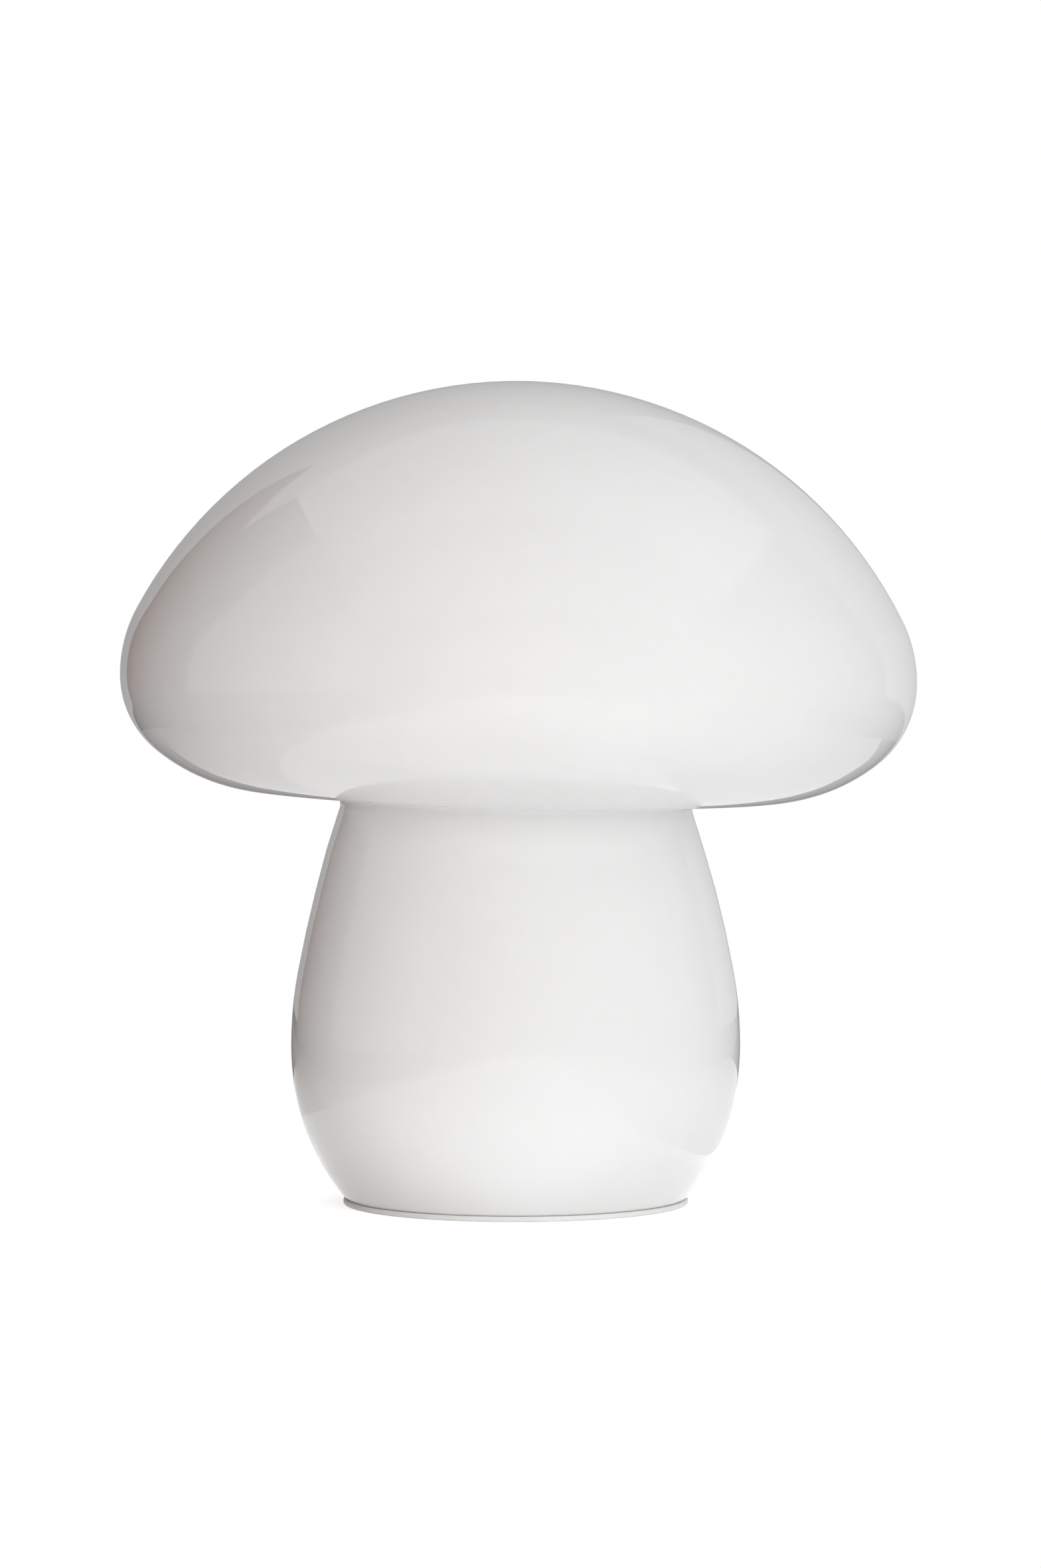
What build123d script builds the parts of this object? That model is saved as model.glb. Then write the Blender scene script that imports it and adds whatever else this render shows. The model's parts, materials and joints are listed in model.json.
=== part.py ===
from build123d import *
from math import atan2, cos, degrees, radians, sin, sqrt, tan
import os

# Mushroom table lamp: a one-piece blown opal glass body stands on a pressed steel base
# that carries an E27 lampholder and a bulb.
# The origin is at the middle of the base, on the table. +Z is up, -Y is the front and the
# cord inlet faces +Y. All sizes are in millimetres.

# Clearances
slip_gap = 0.1          # between parts of one assembly that slide into each other
snug_gap = 0.05         # between parts that screw or snap together
hole_spare = 0.5        # depth of a blind hole beyond the end of its screw
glass_play = 1.1        # round the base, inside the mouth of the glass
cover_play = 0.3        # round the bottom cover
leaf_gap = 0.3          # between the side contact and the bulb cap
thread_play = 0.45      # between the crests of the socket thread and the bulb cap

# Glass body: its outer face runs through these rings. Each stretch between two rings is a
# pair of tangent arcs, and its balance is how much of the stretch the lower arc takes: at 1
# both arcs have tangents of one length, and a smaller number makes the lower one shorter.
cap_top_z = 310.3
crown_balance = 0.131
cap_radius = 151.0
cap_widest_z = 198.5
lip_balance = 1.3
underside_radius = 93.0
underside_z = 153.3
neck_fillet = 3.5
neck_radius = 66.6
neck_flare = 18.4       # from upright, where the stem leaves the fillet
stem_balance = 0.454
belly_radius = 84.8
belly_z = 59.9
foot_balance = 1.78
foot_flare = 39.8       # from upright, where the stem meets the rounded rim
rim_round = 2.4
glass_wall = 4.0

# Edge trim and pressed base
trim_height = 2.0
trim_chamfer = 0.5
trim_overhang = 1.0     # the trim's edge beyond the base flange
sheet = 0.8             # thickness of the base sheet
base_radius = 60.8      # outside of the upright wall of the base
flange_width = 3.4
boss_radius = 22.0
boss_height = 2.0
flange_bend = 0.8
deck_bend = 2.0
boss_draft = 1.2         # the boss's sides lean in by this much

# Bottom cover, its screws and standoffs
cover_z = 2.5
cover_thickness = 1.5
screw_inset = 12.0      # from the wall of the base to the middle of a screw
screw_count = 3
screw_start_angle = 30.0
screw_radius = 1.5
screw_head_radius = 2.8
screw_head_height = 1.8
screw_head_chamfer = 0.7
screw_grip = 8.0        # thread in a standoff
slot_width = 0.6        # in the heads of the small screws
slot_depth = 0.7
standoff_flats = 5.5

# Cord inlet
inlet_radius = 3.25
inlet_wall = 1.6
inlet_flange_width = 1.2
inlet_flange_length = 2.0
inlet_collar_width = 0.7
inlet_collar_length = 3.4
inlet_reach = 7.2       # beyond the wall of the base
inlet_headroom = 1.2    # from the inlet's hole to the deck's bend
inlet_chamfer = 0.6
notch_play = 0.8        # between the inlet's flange and the notch in the glass

# Threaded tube, nut and washers
tube_radius = 5.0
tube_wall = 1.0
tube_grip = 9.0         # length inside the lampholder
tube_tail = 1.0         # length below the lock nut
nut_height = 4.0
nut_margin = 4.0        # nut size across flats, beyond the tube's diameter
nut_chamfer = 0.6
toothed_washer_height = 0.8
toothed_washer_width = 3.5
toothed_washer_teeth = 10
tooth_gap_width = 1.2
tooth_gap_depth = 1.0
seat_washer_height = 1.0
seat_washer_radius = 11.0

# Lampholder
socket_wall = 6.45
holder_mouth_rise = 1.0  # above the top edge of the bulb's cap
holder_neck_wall = 5.0
holder_neck_height = 6.0
holder_dome_top = 17.0  # above the bottom of the holder
holder_band_height = 4.0
holder_floor = 1.0      # above the end of the tube
holder_edge = 1.0       # chamfer round the top edge
grip_low_margin = 10.0  # from the joint of the two halves up to the grip band
grip_high_margin = 8.0  # from the grip band up to the top
grip_depth = 0.6
spigot_drop = 1.5       # from the top of the insert down to the top of the spigot
spigot_wall = 1.6
spigot_step = 1.9       # wall of the upper half outside the spigot
socket_floor_step = 1.45  # the socket floor's radius beyond the thread crest
insert_sink = 0.5       # below the joint of the two halves
insert_height = 8.0
insert_ledge = 2.2
insert_chamfer = 0.5
ledge_height = 2.5
mouth_flare = 1.0
terminal_spacing = 18.0
terminal_head_radius = 2.6
terminal_head_height = 1.8
terminal_depth = 5.5
grub_screw_sink = 0.5    # below the face of the holder's neck

# Contacts
leaf_thickness = 0.4
leaf_width = 6.0
leaf_height = 3.5       # from the insert to the bulb's tip
centre_leaf_reach = 12.0
centre_leaf_foot = 5.0
centre_leaf_flat = 3.2  # from the middle to the end of the flat under the bulb's tip
side_leaf_foot = 2.4

# Bulb
bulb_cap_radius = 13.1
bulb_cap_length = 27.0  # from the tip to the top edge of the cap
bulb_cap_wall = 0.5
tip_radius = 4.5
tip_height = 1.4
tip_chamfer = 0.8
insulator_height = 3.6
insulator_bottom_radius = 6.0
insulator_step = 0.8      # inside the bottom edge of the cap
insulator_spigot = 2.0
cap_taper_height = 2.5
cap_taper_width = 1.9
bulb_length = 105.0
bulb_radius = 30.0
bulb_wall = 0.9
bulb_neck_overlap = 4.0   # glass neck inside the cap
bulb_neck_straight = 4.0  # glass neck above the cap
board_z = 11.0            # above the bulb's tip
board_thickness = 1.2
capacitor_radius = 3.2
capacitor_height = 7.5
capacitor_offset = 5.5
flare_height = 4.0
flare_wall = 1.0
pinch_radius = 3.2
pinch_height = 14.0
rod_radius = 1.6
rod_headroom = 20.0       # from the top of the rod to the top of the bulb
filament_count = 4
filament_start_angle = 45.0
filament_radius = 0.9
filament_bottom_circle = 9.0
filament_top_circle = 4.5
filament_bottom = 20.0    # above the top edge of the cap
wire_radius = 0.3

# Heights and radii that follow
rim_z = trim_height
flange_z = (trim_height - sheet) / 2
flange_radius = base_radius + flange_width
trim_radius = flange_radius + trim_overhang
trim_inner_radius = base_radius + flange_bend + slip_gap
mouth_radius = base_radius + glass_play
foot_radius = mouth_radius + glass_wall * cos(radians(foot_flare))
foot_z = rim_z + rim_round * (1 - sin(radians(foot_flare)))
neck_z = underside_z - neck_fillet * (1 + sin(radians(neck_flare)))
base_inner_radius = base_radius - sheet
screw_circle = base_inner_radius - screw_inset
standoff_bottom = cover_z + cover_thickness
barrel_radius = inlet_radius + inlet_wall
inlet_hole_radius = barrel_radius + slip_gap
inlet_collar_radius = barrel_radius + inlet_collar_width
inlet_flange_radius = barrel_radius + inlet_flange_width
inlet_z = standoff_bottom + inlet_collar_radius + cover_play
deck_z = inlet_z + inlet_hole_radius + inlet_headroom + deck_bend
boss_z = deck_z + boss_height
boss_lean = sheet * tan(atan2(boss_height, boss_draft) / 2)
notch_radius = inlet_flange_radius + notch_play
tube_bore = tube_radius - tube_wall
tube_hole_radius = tube_radius + slip_gap
tube_thread_radius = tube_radius + snug_gap
screw_thread_radius = screw_radius + snug_gap
holder_z = boss_z + seat_washer_height
socket_radius = bulb_cap_radius + thread_play
holder_radius = socket_radius + socket_wall
holder_neck_radius = tube_radius + holder_neck_wall
dome_top_z = holder_z + holder_dome_top
spigot_radius = holder_radius - spigot_step
insert_z = dome_top_z - insert_sink
insert_top_z = insert_z + insert_height
spigot_top_z = insert_top_z - spigot_drop
insert_radius = spigot_radius - spigot_wall - slip_gap
socket_floor_radius = socket_radius + socket_floor_step
tip_z = insert_top_z + leaf_height
insulator_z = tip_z + tip_height
bulb_cap_z = insulator_z + insulator_height
bulb_cap_top_z = tip_z + bulb_cap_length
holder_top_z = bulb_cap_top_z + holder_mouth_rise
bulb_cap_bottom_radius = bulb_cap_radius - cap_taper_width
bulb_cap_inner_radius = bulb_cap_radius - bulb_cap_wall
insulator_top_radius = bulb_cap_bottom_radius - insulator_step
bulb_neck_radius = bulb_cap_inner_radius - slip_gap
bulb_neck_z = bulb_cap_top_z - bulb_neck_overlap
bulb_top_z = tip_z + bulb_length
bulb_widest_z = bulb_top_z - bulb_radius
rod_top_z = bulb_top_z - rod_headroom


def turned(*curves):
    """A solid of revolution about Z from curves given as (radius, height)."""
    outline = Plane.XZ * make_face(Curve() + list(curves))
    return revolve(outline, Axis.Z)


def turned_points(*points):
    return turned(Polyline(*points, close=True))


def ring(outer, inner, low, height):
    face = Circle(outer) - Circle(inner) if inner else Circle(outer)
    return Pos(0, 0, low) * extrude(face, height)


def hexagon(flats, low, height):
    return Pos(0, 0, low) * extrude(RegularPolygon(flats / 2, 6, major_radius=False), height)


def heading(degrees_down):
    """Direction in the outline plane, turned down from level and outward."""
    return Vector(cos(radians(degrees_down)), -sin(radians(degrees_down)))


def arc_pair(start, end, first, last, balance, inset=0):
    """Two tangent arcs from start to end, at a depth below the face that they draw.

    first and last are the headings at the two ends, in degrees.
    """
    begin, leave, arrive = Vector(*start), heading(first), heading(last)
    chord = Vector(*end) - begin
    reach = chord.dot(leave + arrive * balance)
    bow = 2 * balance * (1 - leave.dot(arrive))
    tangent = (sqrt(reach**2 + bow * chord.dot(chord)) - reach) / bow
    middle = chord - (leave + arrive * balance) * tangent
    turn_1, turn_2 = leave.get_angle(middle), middle.get_angle(arrive)
    radius_1 = tangent / tan(radians(turn_1 / 2)) - inset
    radius_2 = tangent * balance / tan(radians(turn_2 / 2)) - inset
    inward = heading(first + 90)
    arc_1 = JernArc(begin + inward * inset, leave, radius_1, -turn_1)
    arc_2 = JernArc(arc_1 @ 1, arc_1 % 1, radius_2, -turn_2)
    return [arc_1, arc_2]


# ---- Glass body ----

def glass_curves(inset):
    """Crown, lip, underside, neck and stem, at a depth below the outer face."""
    top = (0, cap_top_z)
    widest = (cap_radius, cap_widest_z)
    lowest = (underside_radius, underside_z)
    belly = (belly_radius, belly_z)
    fillet_start = (neck_radius + neck_fillet * cos(radians(neck_flare)), underside_z + inset)
    return [
        *arc_pair(top, widest, 0, 90, crown_balance, inset),
        *arc_pair(widest, lowest, 90, 180, lip_balance, inset),
        Line((underside_radius, underside_z + inset), fillet_start),
        JernArc(fillet_start, (-1, 0), neck_fillet + inset, 90 + neck_flare),
        *arc_pair((neck_radius, neck_z), belly, 90 - neck_flare, 90, stem_balance, inset),
        *arc_pair(belly, (foot_radius, foot_z), 90, 90 + foot_flare, foot_balance, inset),
    ]


def make_glass_body():
    """One blown shell with a ground rim, and a notch at the back that passes over the cord inlet."""
    flare = radians(foot_flare)
    rim = JernArc((foot_radius, foot_z), (-sin(flare), -cos(flare)), rim_round, foot_flare - 90)
    rim_end = (foot_radius - rim_round * cos(flare), rim_z)
    inner_foot = (mouth_radius, foot_z + glass_wall * sin(flare))
    shell = turned(
        *glass_curves(0),
        rim,
        Polyline(rim_end, (mouth_radius, rim_z), inner_foot),
        *glass_curves(glass_wall),
        Line((0, cap_top_z - glass_wall), (0, cap_top_z)),
    )
    notch_top = Pos(0, cap_radius / 2, inlet_z) * Rot(90, 0, 0) * Cylinder(notch_radius, cap_radius)
    notch_sides = Pos(0, cap_radius / 2, 0) * Box(2 * notch_radius, cap_radius, 2 * inlet_z)
    return shell - notch_top - notch_sides


# ---- Base ----

def make_rim_trim():
    """Soft U-section trim round the base flange. The glass stands on its upper leg."""
    slot_radius = flange_radius + slip_gap
    slot_top = flange_z + sheet
    return turned_points(
        (trim_inner_radius, 0),
        (trim_radius - trim_chamfer, 0),
        (trim_radius, trim_chamfer),
        (trim_radius, trim_height - trim_chamfer),
        (trim_radius - trim_chamfer, trim_height),
        (trim_inner_radius, trim_height),
        (trim_inner_radius, slot_top),
        (slot_radius, slot_top),
        (slot_radius, flange_z),
        (trim_inner_radius, flange_z),
    )


def make_base_plate():
    """Pressed sheet base: a flange, an upright wall, a deck and a raised boss, all one thickness."""
    upper = FilletPolyline(
        (flange_radius, flange_z + sheet),
        (base_radius, flange_z + sheet),
        (base_radius, deck_z),
        (boss_radius, deck_z),
        (boss_radius - boss_draft, boss_z),
        (tube_hole_radius, boss_z),
        radius=[flange_bend, deck_bend, 0, 0],
    )
    lower = FilletPolyline(
        (flange_radius, flange_z),
        (base_inner_radius, flange_z),
        (base_inner_radius, deck_z - sheet),
        (boss_radius - boss_lean, deck_z - sheet),
        (boss_radius - boss_lean - boss_draft, boss_z - sheet),
        (tube_hole_radius, boss_z - sheet),
        radius=[flange_bend + sheet, deck_bend - sheet, 0, 0],
    )
    edge = Line((flange_radius, flange_z), (flange_radius, flange_z + sheet))
    hole_edge = Line((tube_hole_radius, boss_z - sheet), (tube_hole_radius, boss_z))
    pressing = turned(upper, hole_edge, lower, edge)
    inlet_hole = Pos(0, base_radius, inlet_z) * Rot(90, 0, 0) * Cylinder(inlet_hole_radius, inlet_reach)
    return pressing - inlet_hole


def screw_places():
    return PolarLocations(screw_circle, screw_count, start_angle=screw_start_angle)


def make_bottom_cover():
    """Flat disc that closes the base from below."""
    disc = ring(base_inner_radius - cover_play, 0, cover_z, cover_thickness)
    for place in screw_places():
        disc -= place * ring(screw_radius + slip_gap, 0, cover_z, cover_thickness)
    return disc


def make_standoffs():
    """Hexagonal threaded pillars under the deck."""
    height = deck_z - sheet - standoff_bottom
    pillar = hexagon(standoff_flats, standoff_bottom, height)
    pillar -= ring(screw_thread_radius, 0, standoff_bottom, screw_grip + hole_spare)
    return [place * pillar for place in screw_places()]


def make_cover_screws():
    """Pan-head screws that reach up through the cover into the standoffs."""
    head = ring(screw_head_radius, 0, cover_z - screw_head_height, screw_head_height)
    head = chamfer(head.edges().sort_by(Axis.Z)[0], screw_head_chamfer)
    shank = ring(screw_radius, 0, cover_z, cover_thickness + screw_grip)
    return [place * (head + shank) for place in screw_places()]


def make_cord_inlet():
    """Snap-in bush in the back wall of the base, open for the cord."""
    inner_end = base_inner_radius - inlet_collar_length
    outer_end = base_radius + inlet_reach

    def along_back(radius, start, end):
        return Pos(0, (start + end) / 2, inlet_z) * Rot(90, 0, 0) * Cylinder(radius, end - start)

    flange_end = base_radius + inlet_flange_length
    collar = along_back(inlet_collar_radius, inner_end, base_radius)
    collar &= ring(base_inner_radius - snug_gap, 0, 0, deck_z)
    flange = along_back(inlet_flange_radius, base_inner_radius, flange_end)
    flange -= ring(base_radius + snug_gap, 0, 0, deck_z)
    barrel = along_back(barrel_radius, inner_end, outer_end)
    bush = barrel + collar + flange
    bush -= along_back(inlet_radius, inner_end - 1, outer_end + 1)
    nose = bush.edges().filter_by(GeomType.CIRCLE).group_by(Axis.Y)[-1].sort_by(SortBy.RADIUS)[-1]
    return chamfer(nose, inlet_chamfer)


# ---- Tube, nut and washers ----

def make_threaded_tube():
    low = boss_z - sheet - toothed_washer_height - nut_height - tube_tail
    return ring(tube_radius, tube_bore, low, holder_z + tube_grip - low)


def make_lock_nut():
    low = boss_z - sheet - toothed_washer_height - nut_height
    flats = 2 * tube_radius + nut_margin
    corner = flats / 2 / cos(radians(30))
    nut = hexagon(flats, low, nut_height) - ring(tube_thread_radius, 0, low, nut_height)
    chamfered_blank = turned_points(
        (0, low),
        (flats / 2, low),
        (corner, low + nut_chamfer),
        (corner, low + nut_height),
        (0, low + nut_height),
    )
    return nut & chamfered_blank


def make_toothed_washer():
    """Shakeproof washer between the lock nut and the base."""
    low = boss_z - sheet - toothed_washer_height
    outer = tube_radius + toothed_washer_width
    washer = ring(outer, tube_hole_radius, low, toothed_washer_height)
    gap = Pos(0, 0, low) * extrude(Rectangle(2 * tooth_gap_depth, tooth_gap_width), toothed_washer_height)
    for place in PolarLocations(outer, toothed_washer_teeth):
        washer -= place * gap
    return washer


def make_seat_washer():
    return ring(seat_washer_radius, tube_hole_radius, boss_z, seat_washer_height)


# ---- Lampholder ----

def make_holder_cap():
    """Lower half of the lampholder: a threaded neck that opens into a dome and ends in a spigot."""
    neck_top = holder_z + holder_neck_height
    floor = holder_z + tube_grip
    spigot_inner = spigot_radius - spigot_wall
    body = turned_points(
        (tube_bore, floor),
        (tube_thread_radius, floor),
        (tube_thread_radius, holder_z),
        (holder_neck_radius, holder_z),
        (holder_neck_radius, neck_top),
        (holder_radius, dome_top_z - holder_band_height),
        (holder_radius, dome_top_z),
        (spigot_radius, dome_top_z),
        (spigot_radius, spigot_top_z),
        (spigot_inner, spigot_top_z),
        (spigot_inner, insert_z),
        (spigot_inner - insert_ledge, insert_z),
        (spigot_inner - insert_ledge, insert_z - ledge_height),
        (tube_radius + holder_floor, floor + holder_floor),
        (tube_bore, floor + holder_floor),
    )
    grub_hole = Pos(holder_neck_radius / 2, 0, holder_z + holder_neck_height / 2) * Rot(0, 90, 0)
    return body - grub_hole * Cylinder(screw_thread_radius, holder_neck_radius)


def make_grub_screw():
    """Set screw that stops the holder turning on the tube."""
    start = tube_radius + slip_gap
    middle_z = holder_z + holder_neck_height / 2
    end = holder_neck_radius - grub_screw_sink
    screw = Rot(0, 90, 0) * Cylinder(screw_radius, end - start)
    slot = Box(2 * slot_depth, 3 * screw_radius, slot_width)
    return Pos((start + end) / 2, 0, middle_z) * screw - Pos(end, 0, middle_z) * slot


def make_holder_insert():
    """Heatproof disc that carries the contacts and terminals, on the ledge of the holder cap."""
    disc = ring(insert_radius, 0, insert_z, insert_height)
    disc = chamfer(disc.edges().filter_by(GeomType.CIRCLE), insert_chamfer)
    hole = ring(screw_thread_radius, 0, insert_z, terminal_depth + hole_spare)
    for side in (-1, 1):
        disc -= Pos(side * terminal_spacing / 2, 0, 0) * hole
    return disc


def make_terminal_screws():
    """Slotted screws under the insert that clamp the two wires."""
    low = insert_z - terminal_head_height
    head = ring(terminal_head_radius, 0, low, terminal_head_height)
    head -= Pos(0, 0, low) * Box(slot_width, 3 * terminal_head_radius, 2 * slot_depth)
    screw = head + ring(screw_radius, 0, insert_z, terminal_depth)
    return [Pos(side * terminal_spacing / 2, 0, 0) * screw for side in (-1, 1)]


def make_holder_shell():
    """Upper half of the lampholder: the socket bore with a flared mouth and a grip band outside."""
    spigot_bore = spigot_radius + slip_gap
    grip_low = dome_top_z + grip_low_margin
    grip_high = holder_top_z - grip_high_margin
    shell = turned_points(
        (spigot_bore, dome_top_z),
        (holder_radius, dome_top_z),
        (holder_radius, grip_low),
        (holder_radius - grip_depth, grip_low + grip_depth),
        (holder_radius - grip_depth, grip_high - grip_depth),
        (holder_radius, grip_high),
        (holder_radius, holder_top_z),
        (socket_radius + mouth_flare, holder_top_z),
        (socket_radius, holder_top_z - mouth_flare),
        (socket_radius, tip_z),
        (socket_floor_radius, tip_z - socket_floor_step),
        (socket_floor_radius, insert_top_z),
        (spigot_bore, insert_top_z),
    )
    top_edge = shell.edges().group_by(Axis.Z)[-1].sort_by(SortBy.RADIUS)[-1]
    return chamfer(top_edge, holder_edge)


def make_centre_contact():
    """Springy leaf that rises from the insert to the bulb's tip."""
    low = insert_top_z
    high = tip_z
    step = leaf_thickness
    foot_end = -centre_leaf_reach + centre_leaf_foot
    face = make_face(Polyline(
        (-centre_leaf_reach, low),
        (foot_end, low),
        (-centre_leaf_flat, high - step),
        (centre_leaf_flat, high - step),
        (centre_leaf_flat, high),
        (-centre_leaf_flat - step / 2, high),
        (foot_end - step / 2, low + step),
        (-centre_leaf_reach, low + step),
        close=True,
    ))
    return extrude(Plane.XZ * face, leaf_width / 2, both=True)


def make_side_contact():
    """Upright leaf under the bottom edge of the bulb's cap."""
    inner = bulb_cap_bottom_radius - leaf_thickness
    outer = bulb_cap_bottom_radius
    face = make_face(Polyline(
        (inner, insert_top_z),
        (inner + side_leaf_foot, insert_top_z),
        (inner + side_leaf_foot, insert_top_z + leaf_thickness),
        (outer, insert_top_z + leaf_thickness),
        (outer, bulb_cap_z - leaf_gap),
        (inner, bulb_cap_z - leaf_gap),
        close=True,
    ))
    return extrude(Plane.XZ * face, leaf_width / 2, both=True)


# ---- Bulb ----

def make_bulb_tip():
    """Contact button with a flat middle."""
    button = ring(tip_radius, 0, tip_z, tip_height)
    return chamfer(button.edges().filter_by(GeomType.CIRCLE).sort_by(Axis.Z)[0], tip_chamfer)


def make_bulb_insulator():
    spigot_radius_in_cap = bulb_cap_bottom_radius - bulb_cap_wall - slip_gap
    return turned_points(
        (0, insulator_z),
        (insulator_bottom_radius, insulator_z),
        (insulator_top_radius, bulb_cap_z),
        (spigot_radius_in_cap, bulb_cap_z),
        (spigot_radius_in_cap, bulb_cap_z + insulator_spigot),
        (0, bulb_cap_z + insulator_spigot),
    )


def make_bulb_screw_cap():
    """Thin metal cap at the crest of its thread."""
    shoulder_z = bulb_cap_z + cap_taper_height
    return turned_points(
        (bulb_cap_bottom_radius, bulb_cap_z),
        (bulb_cap_radius, shoulder_z),
        (bulb_cap_radius, bulb_cap_top_z),
        (bulb_cap_inner_radius, bulb_cap_top_z),
        (bulb_cap_inner_radius, shoulder_z),
        (bulb_cap_bottom_radius - bulb_cap_wall, bulb_cap_z),
    )


def bulb_curves(inset):
    """Neck, hollow flank and round dome of the bulb glass, at a depth below the outer face."""
    neck = bulb_neck_radius - inset
    flank_z = bulb_cap_top_z + bulb_neck_straight
    rise = bulb_widest_z - flank_z
    flank_radius = (bulb_neck_radius**2 + rise**2 - bulb_radius**2) / (2 * (bulb_radius - bulb_neck_radius))
    turn = degrees(atan2(rise, bulb_neck_radius + flank_radius))
    flank = JernArc((neck, flank_z), (0, 1), flank_radius + inset, -turn)
    dome = JernArc(flank @ 1, flank % 1, bulb_radius - inset, 90 + turn)
    return [Line((neck, bulb_neck_z), (neck, flank_z)), flank, dome]


def make_bulb_envelope():
    return turned(
        *bulb_curves(0),
        Line((0, bulb_top_z), (0, bulb_top_z - bulb_wall)),
        *bulb_curves(bulb_wall),
        Line((bulb_neck_radius - bulb_wall, bulb_neck_z), (bulb_neck_radius, bulb_neck_z)),
    )


def make_bulb_driver():
    """Round driver board inside the bulb's cap, with a capacitor on it."""
    low = tip_z + board_z
    board = ring(bulb_neck_radius, 0, low, board_thickness)
    capacitor = ring(capacitor_radius, 0, low + board_thickness, capacitor_height)
    return [board, Pos(capacitor_offset, 0, 0) * capacitor]


def make_bulb_stem():
    """Glass mount: a flare that closes the neck, a pinch and a rod up the middle."""
    flare_radius = bulb_neck_radius - bulb_wall - slip_gap
    pinch_z = bulb_cap_top_z + pinch_height
    return turned_points(
        (0, bulb_cap_top_z + flare_height),
        (flare_radius - flare_wall, bulb_neck_z),
        (flare_radius, bulb_neck_z),
        (flare_radius, bulb_neck_z + flare_wall),
        (pinch_radius, bulb_cap_top_z + flare_height + 2 * flare_wall),
        (pinch_radius, pinch_z),
        (rod_radius, pinch_z + pinch_radius - rod_radius),
        (rod_radius, rod_top_z),
        (0, rod_top_z),
    )


def filament_ends():
    """Bottom and top points of the filaments, leaning in towards the top."""
    bottom_z = bulb_cap_top_z + filament_bottom
    top_z = rod_top_z - filament_radius
    bottoms = PolarLocations(filament_bottom_circle, filament_count, start_angle=filament_start_angle)
    tops = PolarLocations(filament_top_circle, filament_count, start_angle=filament_start_angle)
    return [
        (bottom.position + Vector(0, 0, bottom_z), top.position + Vector(0, 0, top_z))
        for bottom, top in zip(bottoms, tops)
    ]


def rod_between(start, end, radius):
    axis = end - start
    return Plane(origin=start, z_dir=axis) * extrude(Circle(radius), axis.length)


def make_bulb_filaments():
    return [rod_between(bottom, top, filament_radius) for bottom, top in filament_ends()]


def make_bulb_lead_wires():
    """Two lower hoops with risers to the pinch, and a spider on top of the rod."""
    ends = filament_ends()
    spider = ring(rod_radius, 0, rod_top_z, 2 * wire_radius)
    for _, top in ends:
        tip = Vector(top.X, top.Y, rod_top_z + wire_radius)
        spider += rod_between(Vector(0, 0, rod_top_z + wire_radius), tip, wire_radius)
    feed_z = ends[0][0].Z - filament_radius
    wires = [spider]
    for side in range(2):
        first, second = ends[2 * side][0], ends[2 * side + 1][0]
        start = Vector(first.X, first.Y, feed_z)
        end = Vector(second.X, second.Y, feed_z)
        middle = (start + end) * 0.5
        inward = Vector(middle.X, middle.Y, 0).normalized()
        root = inward * (pinch_radius + wire_radius) + Vector(0, 0, feed_z)
        wires.append(rod_between(start, end, wire_radius) + rod_between(middle, root, wire_radius))
    return wires


parts = {
    "glass_body": make_glass_body,
    "rim_trim": make_rim_trim,
    "base_plate": make_base_plate,
    "bottom_cover": make_bottom_cover,
    "standoffs": make_standoffs,
    "cover_screws": make_cover_screws,
    "cord_inlet_bush": make_cord_inlet,
    "threaded_tube": make_threaded_tube,
    "lock_nut": make_lock_nut,
    "toothed_washer": make_toothed_washer,
    "seat_washer": make_seat_washer,
    "holder_cap": make_holder_cap,
    "grub_screw": make_grub_screw,
    "holder_insert": make_holder_insert,
    "terminal_screws": make_terminal_screws,
    "centre_contact": make_centre_contact,
    "side_contact": make_side_contact,
    "holder_shell": make_holder_shell,
    "bulb_tip": make_bulb_tip,
    "bulb_insulator": make_bulb_insulator,
    "bulb_screw_cap": make_bulb_screw_cap,
    "bulb_driver": make_bulb_driver,
    "bulb_envelope": make_bulb_envelope,
    "bulb_stem": make_bulb_stem,
    "bulb_filaments": make_bulb_filaments,
    "bulb_lead_wires": make_bulb_lead_wires,
}

os.makedirs("parts", exist_ok=True)
for name, make in parts.items():
    made = make()
    shape = Compound(children=made) if isinstance(made, list) else made
    export_step(shape, f"parts/{name}.step")
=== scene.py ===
import json
from math import atan2, ceil, cos, pi, radians, sin, sqrt, tan

import bmesh
import bpy
from mathutils import Matrix, Vector, noise


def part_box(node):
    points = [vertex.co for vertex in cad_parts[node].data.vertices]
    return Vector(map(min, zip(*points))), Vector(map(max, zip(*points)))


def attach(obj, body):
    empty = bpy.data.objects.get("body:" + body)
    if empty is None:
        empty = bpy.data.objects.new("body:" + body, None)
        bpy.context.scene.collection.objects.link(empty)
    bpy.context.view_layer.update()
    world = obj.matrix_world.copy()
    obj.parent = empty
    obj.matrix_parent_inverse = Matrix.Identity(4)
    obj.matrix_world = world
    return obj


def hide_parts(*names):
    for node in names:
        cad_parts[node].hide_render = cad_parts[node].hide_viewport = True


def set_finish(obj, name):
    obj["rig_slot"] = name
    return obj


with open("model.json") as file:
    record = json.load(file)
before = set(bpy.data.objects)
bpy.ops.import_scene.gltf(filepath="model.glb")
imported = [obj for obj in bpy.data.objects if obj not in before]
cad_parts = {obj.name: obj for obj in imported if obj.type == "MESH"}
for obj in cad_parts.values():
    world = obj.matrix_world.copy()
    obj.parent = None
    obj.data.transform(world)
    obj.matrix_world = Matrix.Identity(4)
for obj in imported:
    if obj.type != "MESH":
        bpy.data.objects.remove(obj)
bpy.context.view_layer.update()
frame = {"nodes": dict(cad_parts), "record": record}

# Mushroom table lamp in blown opal glass. Lengths are in metres, in the CAD's own frame:
# the base stands on Z = 0, -Y is the front and the cord inlet faces +Y.

MM = 0.001

# ---- Sizes ----

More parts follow.
